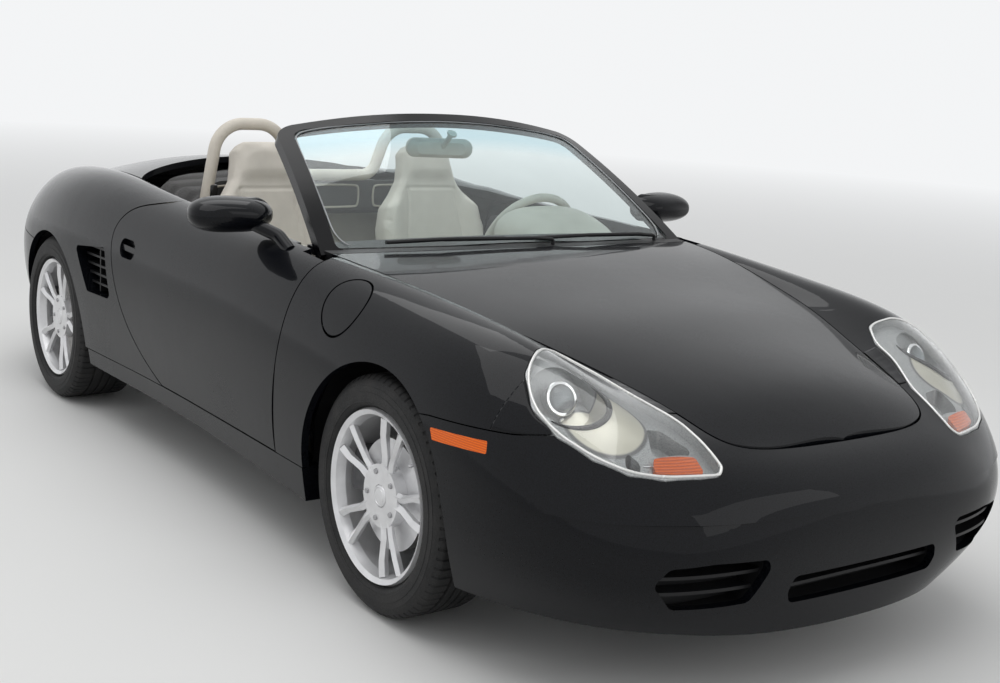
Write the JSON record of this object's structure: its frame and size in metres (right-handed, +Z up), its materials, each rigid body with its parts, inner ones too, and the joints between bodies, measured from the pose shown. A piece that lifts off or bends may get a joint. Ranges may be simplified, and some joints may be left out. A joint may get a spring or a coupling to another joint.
{
  "type": "two-seat convertible car",
  "caption": "Mid-engine two-seat convertible car, roof folded, with opening doors, lids, steering and rolling wheels.",
  "frame": {"origin": "on the ground under the middle of the whole car", "axes": "+X towards the nose, +Y to the left side, +Z up"},
  "size_m": [4.3217, 1.9256, 1.2337],
  "materials": {
    "body_paint": "gloss black with fine flake",
    "black_trim": "satin",
    "screen_glass": "clear",
    "lamp_lens": "clear",
    "amber_lens": "gloss",
    "red_lens": "gloss",
    "lamp_silver": "satin silver",
    "wheel_silver": "painted silver",
    "tyre_rubber": "matte",
    "chassis_steel": "satin",
    "cast_alloy": "cast",
    "exhaust_steel": "brushed",
    "pale_leather": "grained",
    "pale_trim": "satin",
    "dark_trim": "grained",
    "roof_cloth": "woven"
  },
  "bodies": {
    "shell": {"arch_liners": "black_trim", "bulkheads": "chassis_steel", "chassis_rails": "chassis_steel", "console": "pale_trim", "cowl": "black_trim", "dashboard": "pale_leather", "engine": "cast_alloy", "exhaust": "exhaust_steel", "fender_left": "body_paint", "fender_right": "body_paint", "floor_pan": "chassis_steel", "folded_roof": "roof_cloth", "front_bumper": "body_paint", "front_grilles": "black_trim", "front_suspension": "chassis_steel", "front_tub": "black_trim", "headlamp_bowls": "lamp_silver", "headlamp_lenses": "lamp_lens", "headlamp_reflectors": "lamp_silver", "inner_mirror": "black_trim", "quarter_left": "body_paint", "quarter_right": "body_paint", "rear_bumper": "body_paint", "rear_shelf": "dark_trim", "rear_suspension": "chassis_steel", "rear_tub": "black_trim", "roll_bar": "pale_trim", "seat_frames": "dark_trim", "seat_left": "pale_leather", "seat_right": "pale_leather", "side_grilles": "black_trim", "side_markers": "amber_lens", "sills": "body_paint", "steering_column": "black_trim", "tail_lamps": "red_lens", "turn_lamps": "amber_lens", "windscreen_frame": "black_trim", "windscreen_glass": "screen_glass", "wipers": "black_trim"},
    "wheel_front_left": {"wheel_front_left": "wheel_silver", "tyre_front_left": "tyre_rubber"},
    "wheel_front_right": {"wheel_front_right": "wheel_silver", "tyre_front_right": "tyre_rubber"},
    "wheel_rear_left": {"wheel_rear_left": "wheel_silver", "tyre_rear_left": "tyre_rubber"},
    "wheel_rear_right": {"wheel_rear_right": "wheel_silver", "tyre_rear_right": "tyre_rubber"},
    "knuckle_left": {"knuckle_left": "chassis_steel"},
    "door_left": {"door_left": "body_paint", "door_trim_left": "dark_trim", "door_mirror_left": "body_paint"},
    "knuckle_right": {"knuckle_right": "chassis_steel"},
    "door_right": {"door_right": "body_paint", "door_trim_right": "dark_trim", "door_mirror_right": "body_paint"},
    "front_lid": {"front_lid": "body_paint"},
    "rear_lid": {"rear_lid": "body_paint"},
    "roof_cover": {"roof_cover": "body_paint"},
    "fuel_flap": {"fuel_flap": "body_paint"},
    "steering_wheel": {"steering_wheel": "pale_leather"}
  },
  "joints": [
    {"name": "steer_left", "type": "hinge", "parent": "shell", "child": "knuckle_left", "pos_m": [1.2325, 0.66, 0.195], "axis": [0, -0.222, 0.975], "range_deg": [-32, 32]},
    {"name": "spin_front_left", "type": "hinge", "parent": "knuckle_left", "child": "wheel_front_left", "pos_m": [1.2325, 0.7275, 0.318], "axis": [0, 1, 0], "continuous": true},
    {"name": "spin_rear_left", "type": "hinge", "parent": "shell", "child": "wheel_rear_left", "pos_m": [-1.1825, 0.75, 0.318], "axis": [0, 1, 0], "continuous": true},
    {"name": "open_door_left", "type": "hinge", "parent": "shell", "child": "door_left", "pos_m": [0.708, 0.862, 0.5], "axis": [0, 0, -1], "range_deg": [0, 65]},
    {"name": "steer_right", "type": "hinge", "parent": "shell", "child": "knuckle_right", "pos_m": [1.2325, -0.66, 0.195], "axis": [0, 0.222, 0.975], "range_deg": [-32, 32]},
    {"name": "spin_front_right", "type": "hinge", "parent": "knuckle_right", "child": "wheel_front_right", "pos_m": [1.2325, -0.7275, 0.318], "axis": [0, 1, 0], "continuous": true},
    {"name": "spin_rear_right", "type": "hinge", "parent": "shell", "child": "wheel_rear_right", "pos_m": [-1.1825, -0.75, 0.318], "axis": [0, 1, 0], "continuous": true},
    {"name": "open_door_right", "type": "hinge", "parent": "shell", "child": "door_right", "pos_m": [0.708, -0.862, 0.5], "axis": [0, 0, 1], "range_deg": [0, 65]},
    {"name": "turn_steering_wheel", "type": "hinge", "parent": "shell", "child": "steering_wheel", "pos_m": [0.238, 0.358, 0.802], "axis": [-0.9063, 0, 0.4226], "range_deg": [-520, 520]},
    {"name": "open_front_lid", "type": "hinge", "parent": "shell", "child": "front_lid", "pos_m": [0.712, 0, 0.872], "axis": [0, -1, 0], "range_deg": [0, 58]},
    {"name": "open_rear_lid", "type": "hinge", "parent": "shell", "child": "rear_lid", "pos_m": [-1.512, 0, 0.932], "axis": [0, 1, 0], "range_deg": [0, 60]},
    {"name": "open_roof_cover", "type": "hinge", "parent": "shell", "child": "roof_cover", "pos_m": [-1.492, 0, 0.934], "axis": [0, -1, 0], "range_deg": [0, 45]},
    {"name": "open_fuel_flap", "type": "hinge", "parent": "shell", "child": "fuel_flap", "pos_m": [1.073, -0.802, 0.78], "axis": [0, 0.769, 0.6392], "range_deg": [0, 80]}
  ],
  "couplings": [
    {"joint": "steer_right", "follows": "steer_left", "ratio": 1},
    {"joint": "turn_steering_wheel", "follows": "steer_left", "ratio": 16}
  ]
}
